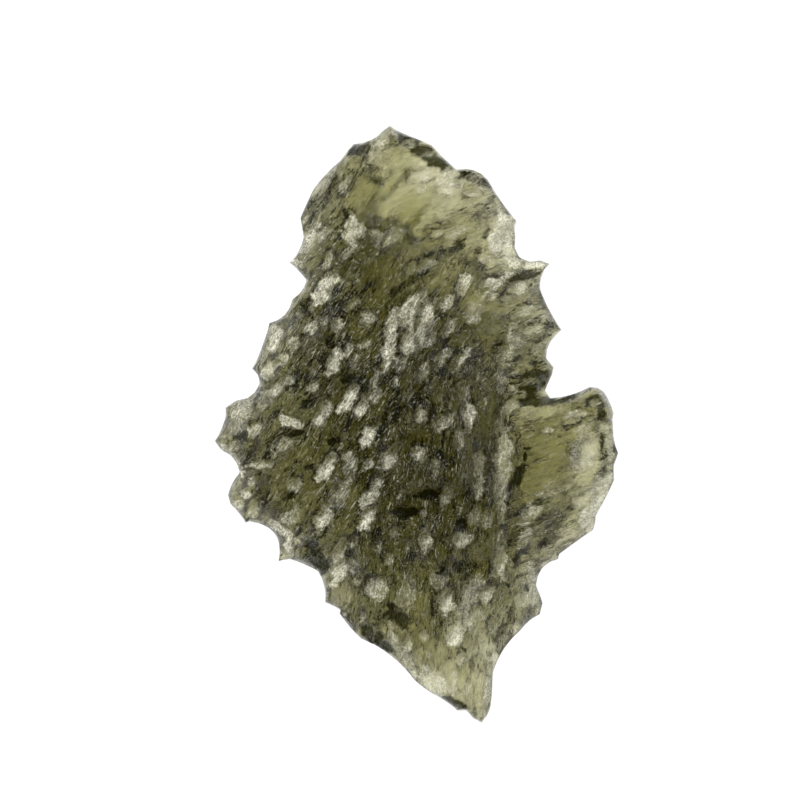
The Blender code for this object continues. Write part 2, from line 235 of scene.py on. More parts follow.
ROOM = (0.045, 0.046, 0.018)
LIGHT_PATHS = 24             # glass in glass: light crosses many faces before it gets out
MIRROR_PATHS = 8
BRIGHTEST_BOUNCE = 0.7       # stops single bright specks
MIRROR_BLUR = 0.5
soft_box("upper left", (-0.42, 0.30, 0.40), 0.40, 5.8, glare=False)
soft_box("right", (0.50, 0.25, 0.32), 0.30, 1.2)
soft_box("below", (0.05, -0.55, 0.30), 0.30, 1.3, glare=False)
world = bpy.data.worlds.new("room")
world.use_nodes = True
world.node_tree.nodes["Background"].inputs["Color"].default_value = ROOM + (1,)
scene.world = world
scene.view_settings.view_transform = "Standard"
scene.cycles.max_bounces = LIGHT_PATHS
scene.cycles.transmission_bounces = LIGHT_PATHS
scene.cycles.glossy_bounces = MIRROR_PATHS
scene.cycles.use_denoising = True
scene.cycles.sample_clamp_indirect = BRIGHTEST_BOUNCE
scene.cycles.blur_glossy = MIRROR_BLUR

# %% [markdown]
# ## The stone
#
# The solid already has the outline, the thick and thin places and the larger pits. A
# copy of it is merged, because it comes as loose triangles, and rounded by subdivision,
# which also gives the fine mesh that the etched skin needs.

# %% A rounded copy
MERGE_DISTANCE = 1e-6
SHARP_TURN = 45.0            # degrees that the rim turns at a fully sharp spine
ROUNDING_LEVELS = 2
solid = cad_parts["moldavite"]
stone = solid.copy()
stone.data = solid.data.copy()
stone.name = "moldavite_glass"
scene.collection.objects.link(stone)
select_only(stone)
bpy.ops.object.mode_set(mode="EDIT")
bpy.ops.mesh.select_all(action="SELECT")
bpy.ops.mesh.remove_doubles(threshold=MERGE_DISTANCE)
bpy.ops.object.mode_set(mode="OBJECT")


def crease_the_rim(mesh):
    """Keeps the rim sharp when the stone is rounded: its edges, and the more it turns the
    more its corners too. The rim is where a face that looks up meets one that looks down."""
    bm = bmesh.new()
    bm.from_mesh(mesh)
    edge_crease = bm.edges.layers.float.new("crease_edge")
    corner_crease = bm.verts.layers.float.new("crease_vert")
    rim = [edge for edge in bm.edges
           if (edge.link_faces[0].normal.z > 0) != (edge.link_faces[1].normal.z > 0)]
    ways = {}
    for edge in rim:
        edge[edge_crease] = 1.0
        for vert in edge.verts:
            ways.setdefault(vert, []).append(edge.other_vert(vert).co - vert.co)
    for vert, pair in ways.items():
        if len(pair) == 2:
            turn = math.pi - pair[0].angle(pair[1])
            vert[corner_crease] = min(turn / math.radians(SHARP_TURN), 1.0)
    bm.to_mesh(mesh)
    bm.free()
    return len(rim)


print("creased edges", crease_the_rim(stone.data))
rounding = stone.modifiers.new("rounding", "SUBSURF")
rounding.levels = ROUNDING_LEVELS
rounding.render_levels = ROUNDING_LEVELS
bpy.ops.object.modifier_apply(modifier="rounding")
bpy.ops.object.shade_smooth()
print("faces", len(stone.data.polygons))

# %% [markdown]
# ## Where the skin is rough, and which way it runs
#
# The grooves follow the flow of the once molten glass. Over most of the stone they slant
# up to the right. In the middle and below they stand nearly upright, and in the lobe they
# fan out to the side. Three sets of grooves, each with its own angle, are blended by
# zone. The bowl at the top and the lobe are smooth, and thin edges carry less relief.

# %% Zones of the flow
LEAST_WEIGHT = 1e-4
FLOW_ANGLES = (57.0, 82.0, 20.0)      # slanting, upright, fanning: degrees from +X
ZONES = (                             # place in mm, reach, which set of grooves
    (-4.0, 1.0, 3.5, 0), (-7.0, -3.0, 3.0, 0), (0.0, 6.0, 3.0, 0), (-3.0, 9.5, 3.0, 0),
    (0.5, -6.5, 2.6, 1), (3.4, -2.0, 2.0, 1), (2.5, -11.5, 2.6, 1), (0.8, 0.0, 2.0, 1),
    (8.0, -1.5, 2.8, 2), (5.0, 5.6, 1.8, 2), (1.0, 11.0, 2.6, 2), (7.5, -5.0, 2.0, 2),
)
SMOOTH_PLACES = (            # place in mm, reach, how much smoother
    (-0.4, 11.4, 2.9, 0.85), (7.4, -1.6, 2.4, 0.55), (6.4, 0.6, 1.2, 0.6),
    (1.2, -11.6, 2.2, 0.45), (3.4, 9.4, 1.4, 0.5), (2.8, -12.6, 1.6, 0.5),
    (3.4, 5.8, 1.2, 0.45),
)


def bell(distance, reach):
    return np.exp(-(distance / reach) ** 2)


def smooth_step(value):
    value = np.clip(value, 0.0, 1.0)
    return value * value * (3 - 2 * value)


def turned(x, y, angle):
    """A place in axes that are turned by this angle: along it, and across it."""
    c, s = math.cos(math.radians(angle)), math.sin(math.radians(angle))
    return x * c + y * s, y * c - x * s


def zone_weights(x, y):
    """How much each set of grooves counts at each point."""
    weights = np.full((len(FLOW_ANGLES), len(x)), LEAST_WEIGHT)
    for zx, zy, reach, kind in ZONES:
        weights[kind] += bell(np.hypot(x - zx, y - zy), reach)
    return weights / weights.sum(0)


def smoothness(x, y):
    value = np.zeros(len(x))
    for px, py, reach, amount in SMOOTH_PLACES:
        value = np.maximum(value, amount * bell(np.hypot(x - px, y - py), reach))
    return value


print("zones", len(ZONES), "smooth places", len(SMOOTH_PLACES))

# %% How thick the stone is under each point
RAY_START = 0.02             # metres, well above and below the stone
THINNEST = 0.05              # mm of glass, up to which the skin has no relief
THIN_RISE = 0.5              # how much more of it there is where the relief is full
count = len(stone.data.vertices)
points = np.zeros(count * 3)
stone.data.vertices.foreach_get("co", points)
points = points.reshape(-1, 3) / MM
normals = np.zeros(count * 3)
stone.data.vertices.foreach_get("normal", normals)
normals = normals.reshape(-1, 3)
tree_of_solid = BVHTree.FromPolygons([v.co for v in solid.data.vertices],
                                     [p.vertices for p in solid.data.polygons])


def thickness_at(x, y):
    """Height of solid glass over a place in mm, from a ray down and a ray up."""
    place = Vector((x, y, 0)) * MM
    top = tree_of_solid.ray_cast(place + Vector((0, 0, RAY_START)), Vector((0, 0, -1)))[0]
    low = tree_of_solid.ray_cast(place - Vector((0, 0, RAY_START)), Vector((0, 0, 1)))[0]
    return (top.z - low.z) / MM if top and low else 0.0


x, y, z = points.T
thick = np.array([thickness_at(px, py) for px, py in zip(x, y)])
upper = normals[:, 2] > 0
weights = zone_weights(x, y)
etched = (1 - smoothness(x, y)) * smooth_step((thick - THINNEST) / THIN_RISE)
print("thickness, mm: mean", round(float(thick.mean()), 2), "most", round(float(thick.max()), 2))

# %% [markdown]
# ## The stone's own shade on the paper
#
# A real stone keeps light off the paper that it lies on, and the thick glass then looks
# down on paper that is less bright. The glowing table can't be shaded, so a thin sheet of
# the same paper lies on it under the stone. Its glow is weaker where much glass is above.

# %% A sheet that is darker under thick glass
SHADE = (0.46, 0.45, 0.32)   # brightness of the paper in the full shade of the stone
SHADE_SIZE = (22, 31)        # mm
SHADE_STEP = 0.2
SHADE_REACH = 0.2
SHADE_PER_MM = 0.8           # how fast the shade deepens with the glass above it
SHADE_LIFT = 0.004 * MM
WAYS = [math.radians(90 * turn) for turn in range(4)]


def shade_at(px, py):
    """0 on open paper, nearly 1 under thick glass, from the glass over the places around."""
    over = min(thickness_at(px + SHADE_REACH * math.cos(way), py + SHADE_REACH * math.sin(way))
               for way in WAYS)
    return 1 - math.exp(-SHADE_PER_MM * over) if over > 0 else 0.0


deselect_all()
columns, rows = (int(side / SHADE_STEP) for side in SHADE_SIZE)
bpy.ops.mesh.primitive_grid_add(x_subdivisions=columns, y_subdivisions=rows, size=1)
paper_shade = bpy.context.object
paper_shade.name = "paper_shade"
paper_shade.scale = (SHADE_SIZE[0] * MM, SHADE_SIZE[1] * MM, 1)
bpy.ops.object.transform_apply(scale=True)
shade = [shade_at(v.co.x / MM, v.co.y / MM) for v in paper_shade.data.vertices]
paper_shade.location.z = SHADE_LIFT
write_attribute(paper_shade, "shade", shade)
material, tree = new_material("shaded_paper")
glowing_paper(tree, mix("RGBA", read_attribute(tree, "shade"), (1, 1, 1, 1), SHADE + (1,)))
paper_shade.data.materials.append(material)
print("darkest share of shade", round(max(shade), 2))

# %% [markdown]
# ## The etched skin
#
# Each groove set is made of scooped cells, long along the flow, with sharp ridges where
# they meet, and of finer grooves. Blender's noise library gives both. Moving each vertex
# up or down by this relief carves the skin: it could also be a displacement texture, but
# in code the two faces can have different patterns.

# %% Scooped cells and fine grooves
CELL = (0.95, 0.42)          # mm along and across the flow
CELL_DEPTH = 0.28
GROOVE = (1.5, 0.24)
GROOVE_DEPTH = 0.08
CRUMPLE = 0.34
CRUMPLE_DEPTH = 0.06
UNDERSIDE = 1.7              # how much stronger the relief of the underside is
MEAN_DISTANCE = 0.45         # of a point in a cell from its middle, so the relief averages 0
LEAST_SHARE = 0.02           # a groove set that counts less than this is left out
LAYERS = (3.0, 40.0)         # where the noise is sliced, for the upper face and the underside


def groove_set(along, across, layer):
    """Relief of one set at one point, in mm, around zero."""
    distances, _ = noise.voronoi((along / CELL[0], across / CELL[1], layer))
    ridge = MEAN_DISTANCE - 2 * abs(noise.noise((along / GROOVE[0], across / GROOVE[1], layer + 7)))
    return CELL_DEPTH * (distances[0] - MEAN_DISTANCE) + GROOVE_DEPTH * ridge


def skin(px, py, layer, share):
    """Relief at one point: the groove sets by their shares, over a crumpled base."""
    relief = CRUMPLE_DEPTH * noise.noise((px / CRUMPLE, py / CRUMPLE, layer))
    for angle, part in zip(FLOW_ANGLES, share):
        if part > LEAST_SHARE:
            relief += part * groove_set(*turned(px, py, angle), layer)
    return relief


layers = np.where(upper, *LAYERS)
relief = np.array([skin(*args) for args in zip(x, y, layers, weights.T)]) * etched
z = z + np.where(upper, relief, -UNDERSIDE * relief)
print("skin relief, mm:", round(float(relief.min()), 3), "to", round(float(relief.max()), 3))

# %% [markdown]
# ## Pits with pale floors
#
# The pits that look pale in the photograph have nearly flat floors with a fine, frosted texture,
# and their pale colour is also a painted reflection of the light. Each is cut as an ellipse: its
# floor is levelled a little below its brink, and the points on it are marked in an attribute,
# "frost_and_reflection", which the glass reads later. The larger ones are listed one by one, and
# small ones are strewn between them.

# %% Places of the pits
PITS = (                     # place in mm, length, width, angle of the length from +X
    (-3.2, 9.7, 1.1, 0.9, 90), (-2.1, 9.5, 0.6, 0.5, 90), (-4.6, 6.8, 1.8, 0.6, 55),
    (-3.9, 5.0, 0.6, 0.5, 57), (-5.3, 4.8, 0.7, 0.4, 45), (-6.2, 4.1, 0.6, 0.5, 20),
    (-6.7, 3.3, 0.7, 0.5, 30), (-6.4, 2.2, 0.5, 0.4, 57), (-7.1, 1.7, 0.9, 0.4, 40),
    (-4.1, 3.1, 1.3, 0.5, 60), (-3.4, 3.7, 0.5, 0.5, 57), (-2.7, 4.0, 0.8, 0.4, 35),
    (-1.4, 3.9, 2.0, 0.5, 80), (-0.4, 4.2, 1.5, 0.6, 75), (-4.6, 0.7, 1.4, 0.5, 60),
    (-3.4, 1.3, 1.4, 0.5, 60), (-2.7, 0.9, 1.1, 0.4, 65), (-2.4, -0.6, 1.1, 0.5, 60),
    (-3.4, -1.5, 0.6, 0.4, 57), (-4.5, -2.1, 1.4, 0.5, 60), (-1.4, -1.6, 1.3, 0.5, 60),
    (-2.0, -2.8, 0.8, 0.4, 65), (-3.5, -2.8, 0.8, 0.4, 40), (-4.2, -3.8, 0.9, 0.5, 75),
    (-2.2, -3.4, 1.5, 0.5, 62), (-2.5, -4.7, 1.3, 0.5, 60), (-4.6, -4.6, 1.1, 0.6, 60),
    (-6.3, 0.1, 1.1, 0.4, -20), (-6.8, -1.1, 1.0, 0.6, 30), (-8.1, -0.2, 0.7, 0.6, 0),
    (-7.9, -2.0, 1.0, 0.4, 0), (-6.1, -3.0, 0.7, 0.6, 0), (-1.1, -5.3, 0.5, 0.4, 57),
    (-1.9, -6.0, 0.9, 0.4, 90), (-3.9, -7.4, 1.2, 0.6, 70), (-2.0, -8.2, 0.9, 0.9, 57),
    (1.5, -8.9, 1.1, 0.7, 90), (2.5, -8.3, 0.9, 0.4, 90), (0.2, 0.5, 0.8, 0.5, 90),
    (1.4, 0.1, 1.0, 0.5, 45), (2.6, 0.5, 1.1, 0.6, 90), (3.1, -2.3, 2.4, 0.45, 85),
    (4.3, -2.3, 3.3, 0.7, 87), (-3.9, -3.3, 0.9, 0.5, 60), (-2.0, 1.5, 0.8, 0.4, 65),
    (4.4, 3.5, 0.9, 0.7, 90), (6.0, 3.8, 0.5, 0.4, 57), (2.2, -5.7, 0.9, 0.7, 0),
    (3.5, -8.5, 0.7, 0.6, 90), (4.2, -7.0, 1.2, 0.6, 90), (0.5, -5.7, 1.1, 0.5, 85),
    (5.3, -8.8, 0.9, 0.6, 60), (-1.5, 3.3, 1.2, 0.4, 85), (5.4, -7.0, 0.8, 0.5, 90),
    (-0.4, 5.7, 1.5, 0.6, 70), (0.5, 5.4, 1.3, 0.6, 65), (-1.2, 5.1, 1.1, 0.5, 80),
    (-2.4, 5.3, 0.6, 0.5, 57), (-3.2, 6.1, 0.9, 0.4, 30), (-2.1, 2.2, 0.7, 0.3, 70),
    (2.4, 1.7, 1.0, 0.6, 85), (0.1, -1.5, 0.8, 0.6, 80), (0.9, -2.1, 0.9, 0.5, 70),
    (0.2, 4.5, 0.8, 0.4, 70), (4.2, 0.1, 0.9, 0.4, 80),
)
SMALL_PITS = 90
ROUGHEST = 0.55              # small pits lie where the etching is at least this rough
LEAST_THICK = 1.0            # mm, and not on the thin edges
HALF_SIZE = (9.8, 14.5)      # mm, how far from the middle they are tried
SMALL_GAP = 0.3
SMALL_LENGTHS = (0.4, 1.1)
SMALL_WIDTHS = (0.35, 0.6)   # as a share of the length
OFF_FLOW = 15                # degrees, how far a small pit turns from the flow


def small_pits(number, rng):
    """Small pits between the large ones, strewn along the flow."""
    pits = []
    while len(pits) < number:
        px, py = (rng.uniform(-half, half) for half in HALF_SIZE)
        clear = all(math.hypot(px - p[0], py - p[1]) > SMALL_GAP + p[2] / 2
                    for p in PITS + tuple(pits))
        here = np.array([px]), np.array([py])
        rough_enough = 1 - smoothness(*here)[0] > ROUGHEST
        if clear and rough_enough and thickness_at(px, py) > LEAST_THICK:
            flow_angle = float(np.dot(zone_weights(*here)[:, 0], FLOW_ANGLES))
            angle = flow_angle + rng.uniform(-OFF_FLOW, OFF_FLOW)
            length = rng.uniform(*SMALL_LENGTHS)
            pits.append((px, py, length, length * rng.uniform(*SMALL_WIDTHS), angle))
    return pits


rng = random.Random(5)
pits = list(PITS) + small_pits(SMALL_PITS, rng)
print("pits set by hand", len(PITS), "and strewn", len(pits) - len(PITS))

# %% [markdown]
# ## Pale and dark places
#
# Besides pits, the skin has frosted clear patches and rims, whose pale colour is partly painted
# light, and hollows darkened by painted shade and soil. Some can be seen one by one. Others only
# even out the broad light and dark of the stone. Each is a blotch with ragged edges. A dark one is
# a hollow too, and its painted shade and soil are marked "hollow_shade_and_soil". On the underside,
# hollows and swells make the glass thinner or thicker, and so lighter or darker, with no mark on
# the skin.

# %% Places of the blotches
PALE_PLACES = (              # place in mm, length, width, angle, how pale
    # the crinkled clear place by the right edge, and the ridge below it
    (4.45, 9.55, 2.3, 1.2, 80, 1.25), (4.9, 8.1, 0.7, 0.6, 0, 0.9),
    (3.5, 8.3, 0.6, 0.4, 20, 0.7), (5.9, 8.0, 1.4, 0.3, 0, 0.9), (4.2, 7.1, 2.6, 0.45, 41, 0.6),
    # the bowl
    (1.7, 12.2, 1.1, 1.3, 0, 0.45), (0.5, 12.5, 0.6, 0.5, 0, 0.5),
    (0.3, 11.8, 0.5, 0.4, 0, 0.5), (3.3, 11.9, 0.9, 0.6, -40, 0.6),
    # the lobe
    (8.4, -1.2, 2.6, 1.1, 80, 0.5), (9.7, -1.0, 2.0, 0.4, 95, 0.6),
    (9.7, -2.7, 0.5, 0.8, 0, 0.8), (8.9, -4.4, 2.2, 0.9, 56, 1.5),
    (9.2, -3.3, 1.4, 0.8, 75, 0.85),
    # the lower end
    (0.8, -12.9, 1.8, 1.2, -30, 0.7), (-0.8, -11.3, 2.4, 0.6, -60, 0.5),
    (3.9, -11.8, 0.5, 0.4, 0, 0.9), (3.6, -13.4, 1.5, 0.4, 85, 0.7),
    (1.9, -13.0, 1.3, 0.3, 85, 0.7), (6.7, -6.9, 1.0, 0.3, 25, 0.7),
    (5.85, -8.0, 2.2, 0.5, 95, 0.9),
    # the left edge
    (-5.3, 9.4, 1.6, 0.6, 62, 0.6), (-6.0, 8.1, 0.7, 0.4, -10, 0.8),
    (-7.1, 4.3, 1.2, 0.7, 75, 0.7), (-4.6, 12.3, 1.7, 0.6, 55, 0.5),
    (-6.9, -5.2, 1.5, 0.5, -35, 0.9), (-6.4, -6.2, 1.5, 0.5, 95, 0.9),
    (-9.2, -1.75, 1.7, 0.5, -55, 0.9), (-7.1, 1.6, 1.0, 0.3, 40, 0.8),
    (-8.9, -4.0, 0.6, 0.5, 0, 0.8), (-8.5, -3.5, 0.5, 0.4, 0, 0.8),
    # the speckled place above the middle
    (0.1, 5.4, 2.6, 1.5, 65, 0.25),
    # evening out broad light and dark, by comparing brightness over the whole stone
    (2.9, -8.3, 1.7, 1.1, 60, 0.5), (2.6, -9.2, 2.0, 1.0, 75, 0.5),
    (-1.5, 9.3, 1.4, 0.7, 30, 0.3), (5.5, 4.5, 1.4, 0.6, 60, 0.3),
    (4.3, 1.9, 1.0, 0.5, 80, 0.55), (5.4, -5.7, 1.2, 0.6, 60, 0.4),
    (7.9, 0.4, 1.3, 0.5, 20, 0.4), (-3.8, -3.4, 1.8, 1.0, 70, 0.35),
    (-6.3, -4.6, 1.2, 0.7, 40, 0.35), (4.9, 4.2, 1.7, 0.8, 80, 0.55),
    (1.9, 9.5, 1.4, 0.7, 40, 0.3), (-3.3, -2.1, 1.0, 0.6, 60, 0.4),
    (6.7, -3.3, 1.2, 0.7, 30, 0.35), (5.5, -4.6, 1.2, 0.7, 60, 0.4),
    (4.2, -5.8, 1.0, 0.6, 80, 0.4), (2.9, 5.6, 1.2, 0.7, 50, 0.3),
    (0.6, 4.2, 1.0, 0.6, 60, 0.3), (4.3, 2.5, 1.2, 0.6, 80, 0.35),
    (2.9, -9.7, 1.2, 0.8, 60, 0.35), (2.9, -4.6, 1.0, 0.6, 80, 0.35),
    (-3.1, -7.1, 0.8, 0.8, 60, 0.3), (-0.2, 4.1, 1.2, 0.6, 70, 0.35),
    (-0.8, 3.0, 1.0, 0.5, 70, 0.3), (-1.8, 13.9, 1.0, 0.6, 40, 0.4),
    (-0.5, -8.5, 1.8, 1.0, 75, 0.2), (1.1, -7.7, 1.2, 0.8, 100, 0.35),
    (-8.8, 0.4, 2.0, 1.0, 70, 0.45),
)
DARK_PLACES = (              # place in mm, length, width, angle, how dark
    # the broken top edge
    (-2.8, 13.8, 1.4, 0.6, 20, 0.8), (0.4, 13.6, 3.6, 0.8, -33, 0.9),
    (2.85, 12.35, 1.9, 0.55, -30, 1.0),
    # the grooves below the bowl, and the ridge that runs to the long spine
    (-0.2, 7.2, 3.0, 0.5, 35, 0.65), (1.9, 8.8, 2.0, 0.5, 42, 0.65),
    (5.3, 7.4, 2.4, 0.5, 15, 0.8), (3.5, 9.6, 0.7, 0.3, 70, 0.7),
    (3.1, 8.6, 1.2, 0.35, 75, 0.6),
    # the notch and the edge of the lobe
    (5.9, 2.2, 1.9, 1.5, 60, 0.95), (5.6, 1.1, 1.5, 0.4, -12, 0.9),
    (6.6, 1.2, 1.6, 0.5, 2, 0.9), (7.6, 1.4, 1.5, 0.5, 22, 0.9), (8.5, 1.8, 1.1, 0.4, 22, 0.7),
    (9.2, 0.9, 1.4, 0.5, 100, 0.8), (9.3, -1.0, 1.4, 0.2, 88, 1.0),
    (7.9, 0.0, 0.9, 0.3, 20, 0.8), (5.6, -1.2, 0.6, 0.2, 10, 0.9),
    (5.4, -1.6, 0.5, 0.2, 80, 0.9), (5.0, -2.7, 1.9, 0.6, 51, 0.9),
    # the black hollows of the middle
    (-0.6, -4.4, 1.4, 0.6, 0, 1.0), (0.6, -3.5, 1.8, 0.5, 5, 1.0),
    (2.2, -4.9, 0.6, 0.5, 0, 0.9), (1.4, -7.4, 0.8, 0.6, 0, 1.0),
    (-1.1, 1.1, 1.9, 0.6, 60, 0.7), (1.8, 3.2, 2.2, 0.9, 70, 0.6),
    (-3.4, 2.3, 0.9, 0.6, 30, 0.8), (-4.5, 2.1, 1.0, 0.7, 60, 0.6),
    (-4.3, 4.2, 0.9, 0.5, 80, 0.7),
    # the left side
    (-5.4, -2.1, 0.5, 0.3, 30, 0.7), (-6.4, -3.5, 0.8, 0.4, 30, 0.7),
    (-4.0, -0.8, 0.9, 0.4, 10, 0.9), (-5.9, -0.4, 1.0, 0.4, 10, 0.8),
    (-5.5, 1.0, 0.8, 0.5, 20, 0.8), (-5.6, 4.5, 0.6, 0.2, 10, 0.9),
    (-5.6, 5.7, 0.6, 0.4, 0, 1.0), (-7.6, 1.2, 0.8, 0.4, 40, 0.6),
    # the lower edge
    (-4.6, -7.2, 1.0, 0.8, 60, 0.9), (-2.0, -10.8, 2.0, 0.8, -45, 1.0),
    (1.8, -13.9, 1.6, 0.5, -20, 0.9),
    # evening out broad light and dark, by comparing brightness over the whole stone
    (-4.7, 11.6, 2.8, 1.0, 60, 0.75), (0.6, 0.4, 1.8, 0.5, 60, 0.6),
    (-4.6, 5.6, 2.4, 0.8, 20, 0.4), (-7.0, 0.6, 1.4, 0.7, 20, 0.4),
    (1.7, 1.6, 1.6, 0.7, 80, 0.5), (1.7, -1.9, 1.2, 0.5, 80, 0.5),
    (6.6, -5.9, 1.4, 0.8, 50, 0.4), (4.3, -10.7, 1.8, 0.8, 80, 0.75),
    (3.0, -12.0, 1.2, 0.8, 60, 0.45), (2.2, -7.1, 2.0, 0.6, 0, 0.6),
    (-2.2, 6.9, 1.8, 0.6, 45, 0.4), (-5.2, -6.3, 1.8, 0.9, -60, 0.6),
    (-0.9, -9.6, 1.8, 0.9, -40, 0.85), (-3.4, 2.9, 1.2, 0.4, 60, 0.7),
    (-3.4, 0.2, 1.0, 0.6, 60, 0.6), (-0.8, 0.5, 1.2, 0.6, 60, 0.6),
    (-1.8, -4.6, 0.9, 0.5, 60, 0.6), (1.9, -13.3, 1.2, 0.5, -20, 0.4),
    (-4.9, -6.9, 1.4, 0.8, -50, 0.85), (-5.1, -6.5, 2.0, 0.9, -50, 0.7),
    (9.4, -1.3, 2.6, 0.6, 88, 0.5), (-4.7, -7.0, 1.2, 0.8, -30, 0.6),
    (-3.4, 12.3, 1.8, 1.0, 60, 0.55), (-8.1, -1.3, 1.3, 0.8, 60, 0.6),
    (-7.7, -3.1, 1.7, 1.0, 70, 0.6),
)
UNDER_HOLLOWS = (            # place in mm, reach, how far it is cut up (-: swells)
    (0.3, 5.2, 2.2, 1.3), (1.4, -10.0, 1.6, 0.9), (4.2, 1.0, 1.7, 1.0), (-3.0, -3.3, 1.7, 1.0),
    (4.2, 7.7, 1.5, 0.9), (5.4, 5.0, 1.3, 0.7), (0.8, -5.8, 1.4, 0.8), (-3.4, -7.0, 1.2, 0.7),
    (2.9, -9.0, 1.6, 1.0), (-7.6, 4.2, 1.2, 0.6), (4.2, -2.2, 1.5, 0.9), (-1.9, 10.6, 1.0, 0.4),
    (-4.6, 12.2, 1.2, -1.0), (-2.2, 12.3, 1.6, -0.7), (-0.7, 12.9, 1.2, 0.3),
    (-2.2, 7.0, 1.6, -1.2), (-4.2, 5.5, 1.8, -1.6), (6.6, -5.8, 1.0, -0.8),
    (-3.2, 9.2, 1.2, -0.7), (4.1, -10.8, 0.9, -0.7), (-6.9, -2.8, 1.4, -0.8),
    (-7.0, 0.5, 1.0, -0.7), (2.6, -7.0, 1.0, -0.8), (-5.0, -7.0, 1.0, -0.7),
    (1.7, 1.0, 1.3, -0.9),
)
print("pale", len(PALE_PLACES), "dark", len(DARK_PLACES), "under", len(UNDER_HOLLOWS))

# %% Mark the blotches, and cut the hollows
HOLLOW = 0.30                # mm, depth of a fully dark place
HOLLOW_FADE = 2.0            # mm of glass, below which it gets shallower
UNDER_START = 0.5            # the underside is cut where there is more glass than this
UNDER_RISE = 1.5
RAGGED = 0.5                 # how ragged the edge of a blotch is
BLOTCH_END = 1.15            # in half sizes of the blotch, from its middle
PALE_EDGE = 0.3              # how soft the edge is
DARK_EDGE = 0.4


def cover_by(places, softness):
    """How much each point belongs to a list of blotches with ragged edges."""
    mask = np.zeros(count)
    for px, py, length, width, angle, strength in places:
        along, across = turned(x - px, y - py, angle)
        away = np.hypot(2 * along / length, 2 * across / width) + RAGGED * warp
        mask = np.maximum(mask, strength * smooth_step((BLOTCH_END - away) / softness))
    return mask * upper


warp = np.array([noise.noise((px / 0.5, py / 0.5, 60.0))
                 + 0.6 * noise.noise((px / 0.17, py / 0.17, 70.0)) for px, py in zip(x, y)])
pale = cover_by(PALE_PLACES, PALE_EDGE)
dark = cover_by(DARK_PLACES, DARK_EDGE)
z = z - HOLLOW * dark * smooth_step(thick / HOLLOW_FADE)
enough_glass = smooth_step((thick - UNDER_START) / UNDER_RISE)
for px, py, reach, cut in UNDER_HOLLOWS:
    lift = cut * bell(np.hypot(x - px, y - py), reach) * enough_glass
    z = z + np.where(upper, 0.0, lift)
print("points in pale places", int((pale > 0.5).sum()), "in dark ones", int((dark > 0.5).sum()))

# %% Level the floors of the pits
FLOOR_DEPTH = 0.18
FLOOR_TILT = 0.20            # of a floor, towards the upper left
TILT_SPREAD = 0.14
PIT_GROWTH = 1.25            # the etched brink lies a little outside the floor
PIT_RAGGED = 0.6
FLOOR_END = 1.1              # these are in half sizes of the pit, from its middle
FLOOR_EDGE = 0.3
BRINK = (0.95, 1.3)          # the ring round a pit whose height its floor starts from
FEWEST_POINTS = 5            # a pit with fewer on its brink is too small for the mesh
SIDE_RING = (1.25, 0.2)      # middle and reach of the painted shade on a pit's upper left side
TROUGH_RING = (1.3, 0.6)
LOWER_RIGHT = (0.8, -0.6)
LARGE = 1.0                  # mm, longer pits have the paler floors
LARGE_PALENESS = (0.75, 1.0)
SMALL_PALENESS = (0.2, 0.75)
PIT_SIDE_SHADE = 0.75         # painted shade on the upper left side of a pit, turned away from the upper left lamp
PIT_TROUGH_SHADE = 0.34       # painted shade in the groove all round a pit
THIN_EDGE = (0.2, 0.9)       # mm of glass where the frost of thin edges starts and how it fades
THIN_EDGE_FROST = 0.12

thin_edge = 1 - smooth_step((thick - THIN_EDGE[0]) / THIN_EDGE[1])
# frost, which on the pale places and pit floors also stands for a painted reflection of the light
frost_and_reflection = np.maximum(THIN_EDGE_FROST * thin_edge, pale)
# painted shade and soil of the dark places; the pits add their painted shade below
hollow_shade_and_soil = dark.copy()
for px, py, length, width, angle in pits:
    along, across = turned(x - px, y - py, angle)
    away = np.hypot(2 * along / length, 2 * across / width) / PIT_GROWTH + PIT_RAGGED * warp
    brink = upper & (away > BRINK[0]) & (away < BRINK[1])
    inside = upper & (away < FLOOR_END)
    if brink.sum() < FEWEST_POINTS:
        continue
    to_lower_right = (x - px) * LOWER_RIGHT[0] + (y - py) * LOWER_RIGHT[1]
    tilt = FLOOR_TILT + rng.uniform(-TILT_SPREAD, TILT_SPREAD)
    floor = z[brink].mean() - FLOOR_DEPTH + tilt * to_lower_right
    blend = smooth_step((FLOOR_END - away[inside]) / FLOOR_EDGE)
    z[inside] += (floor[inside] - z[inside]) * blend
    paleness = rng.uniform(*(LARGE_PALENESS if length > LARGE else SMALL_PALENESS))
    frost_and_reflection[inside] = np.maximum(frost_and_reflection[inside], paleness * blend)
    # painted shade on the upper left side of each pit, and in the groove all round it
    side = smooth_step(0.6 - to_lower_right / width)
    side = side * bell(away - SIDE_RING[0], SIDE_RING[1])
    hollow_shade_and_soil = np.maximum(hollow_shade_and_soil, upper * PIT_SIDE_SHADE * side)
    hollow_shade_and_soil = np.maximum(hollow_shade_and_soil, upper * PIT_TROUGH_SHADE * bell(away - TROUGH_RING[0], TROUGH_RING[1]))

print("frosted points", int((frost_and_reflection > 0.5).sum()))

# %% Give the skin to the stone
FLOW_RAGGED = 0.15           # how ragged the border between two sets of grooves is
points[:, 2] = np.clip(z, 0.0, None)
stone.data.vertices.foreach_set("co", (points * MM).ravel())
write_attribute(stone, "frost_and_reflection", frost_and_reflection)
write_attribute(stone, "etched", etched)
write_attribute(stone, "hollow_shade_and_soil", hollow_shade_and_soil)
write_attribute(stone, "upright", weights[1] + FLOW_RAGGED * warp)
write_attribute(stone, "fanning", weights[2] + FLOW_RAGGED * warp)
stone.data.update()
print("attributes", [item.name for item in stone.data.attributes if item.domain == "POINT"])
